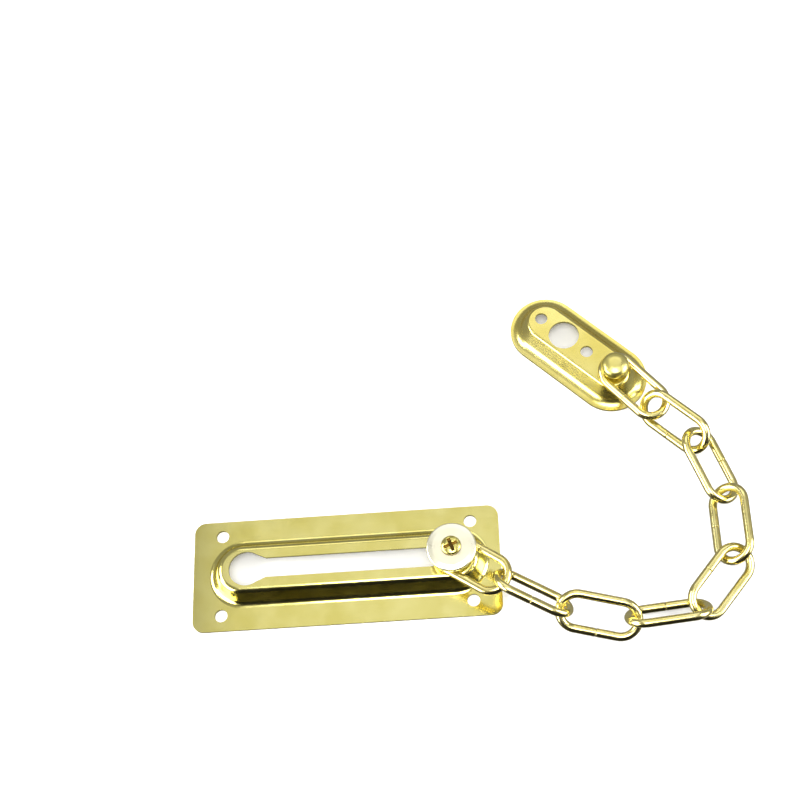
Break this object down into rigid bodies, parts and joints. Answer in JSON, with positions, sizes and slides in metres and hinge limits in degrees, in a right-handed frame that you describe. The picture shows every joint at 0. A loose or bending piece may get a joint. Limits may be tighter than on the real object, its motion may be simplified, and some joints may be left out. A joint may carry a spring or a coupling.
{
  "type": "door chain guard",
  "caption": "Door chain guard: slotted track plate with a sliding knob, a chain of wire links and an oval anchor plate.",
  "frame": {"origin": "middle of the track plate's four screw holes, in the plane of its back face", "axes": "+X along the slot towards its closed end, +Y across the track plate, +Z from the back face towards the knob's cap"},
  "size_m": [0.1948, 0.1339, 0.0208],
  "materials": {
    "track_plate": "bright plated",
    "slider_stud": "bright plated",
    "slider_cap": "satin plated",
    "slider_screw": "bright plated",
    "chain_wire": "bright plated",
    "anchor_plate": "bright plated",
    "anchor_rivet": "bright plated"
  },
  "bodies": {
    "track": {"track_plate": "track_plate"},
    "knob": {"slider_stud": "slider_stud", "slider_cap": "slider_cap", "slider_screw": "slider_screw"},
    "link_1": {"link_1": "chain_wire"},
    "link_2": {"link_2": "chain_wire"},
    "link_3": {"link_3": "chain_wire"},
    "link_4": {"link_4": "chain_wire"},
    "link_5": {"link_5": "chain_wire"},
    "link_6": {"link_6": "chain_wire"},
    "link_7": {"link_7": "chain_wire"},
    "link_8": {"link_8": "chain_wire"},
    "link_9": {"link_9": "chain_wire"},
    "anchor": {"anchor_plate": "anchor_plate", "anchor_rivet": "anchor_rivet"}
  },
  "joints": [
    {"name": "knob_slide", "type": "slide", "parent": "track", "child": "knob", "axis": [1, 0, 0], "range_m": [-0.072, 0]},
    {"name": "link_1_swivel", "type": "hinge", "parent": "knob", "child": "link_1", "pos_m": [0.038, 0, 0.0128], "axis": [0, 0, 1], "range_deg": [-60, 60]},
    {"name": "link_2_hook", "type": "hinge", "parent": "link_1", "child": "link_2", "pos_m": [0.05583, -0.01234, 0.01499], "axis": [0.4694, 0.8782, 0.092], "range_deg": [-40, 5]},
    {"name": "link_3_hook", "type": "hinge", "parent": "link_2", "child": "link_3", "pos_m": [0.07632, -0.02243, 0.00972], "axis": [-0.0576, -0.659, 0.7499], "range_deg": [-60, 60]},
    {"name": "link_4_hook", "type": "hinge", "parent": "link_3", "child": "link_4", "pos_m": [0.09938, -0.02601, 0.00777], "axis": [0.0681, -0.8744, -0.4805], "range_deg": [-15, 20]},
    {"name": "link_5_hook", "type": "hinge", "parent": "link_4", "child": "link_5", "pos_m": [0.12197, -0.02222, 0.00505], "axis": [-0.5467, 0.4909, -0.6783], "range_deg": [-50, 40]},
    {"name": "link_6_hook", "type": "hinge", "parent": "link_5", "child": "link_6", "pos_m": [0.13408, -0.00312, 0.00688], "axis": [-0.9545, 0.0104, 0.2979], "range_deg": [-35, 10]},
    {"name": "link_7_hook", "type": "hinge", "parent": "link_6", "child": "link_7", "pos_m": [0.13292, 0.01873, 0.00536], "axis": [-0.8157, -0.2506, -0.5213], "range_deg": [-45, 60]},
    {"name": "link_8_hook", "type": "hinge", "parent": "link_7", "child": "link_8", "pos_m": [0.12337, 0.03923, 0.00918], "axis": [0.6831, 0.5851, -0.437], "range_deg": [-60, 60]},
    {"name": "link_9_hook", "type": "hinge", "parent": "link_8", "child": "link_9", "pos_m": [0.10988, 0.0544, 0.00766], "axis": [-0.5446, -0.3591, -0.7579], "range_deg": [-8, 25]},
    {"name": "anchor_swivel", "type": "hinge", "parent": "link_9", "child": "anchor", "pos_m": [0.09919, 0.06549, 0.01], "axis": [0, 0, 1], "range_deg": [-20, 50]}
  ]
}
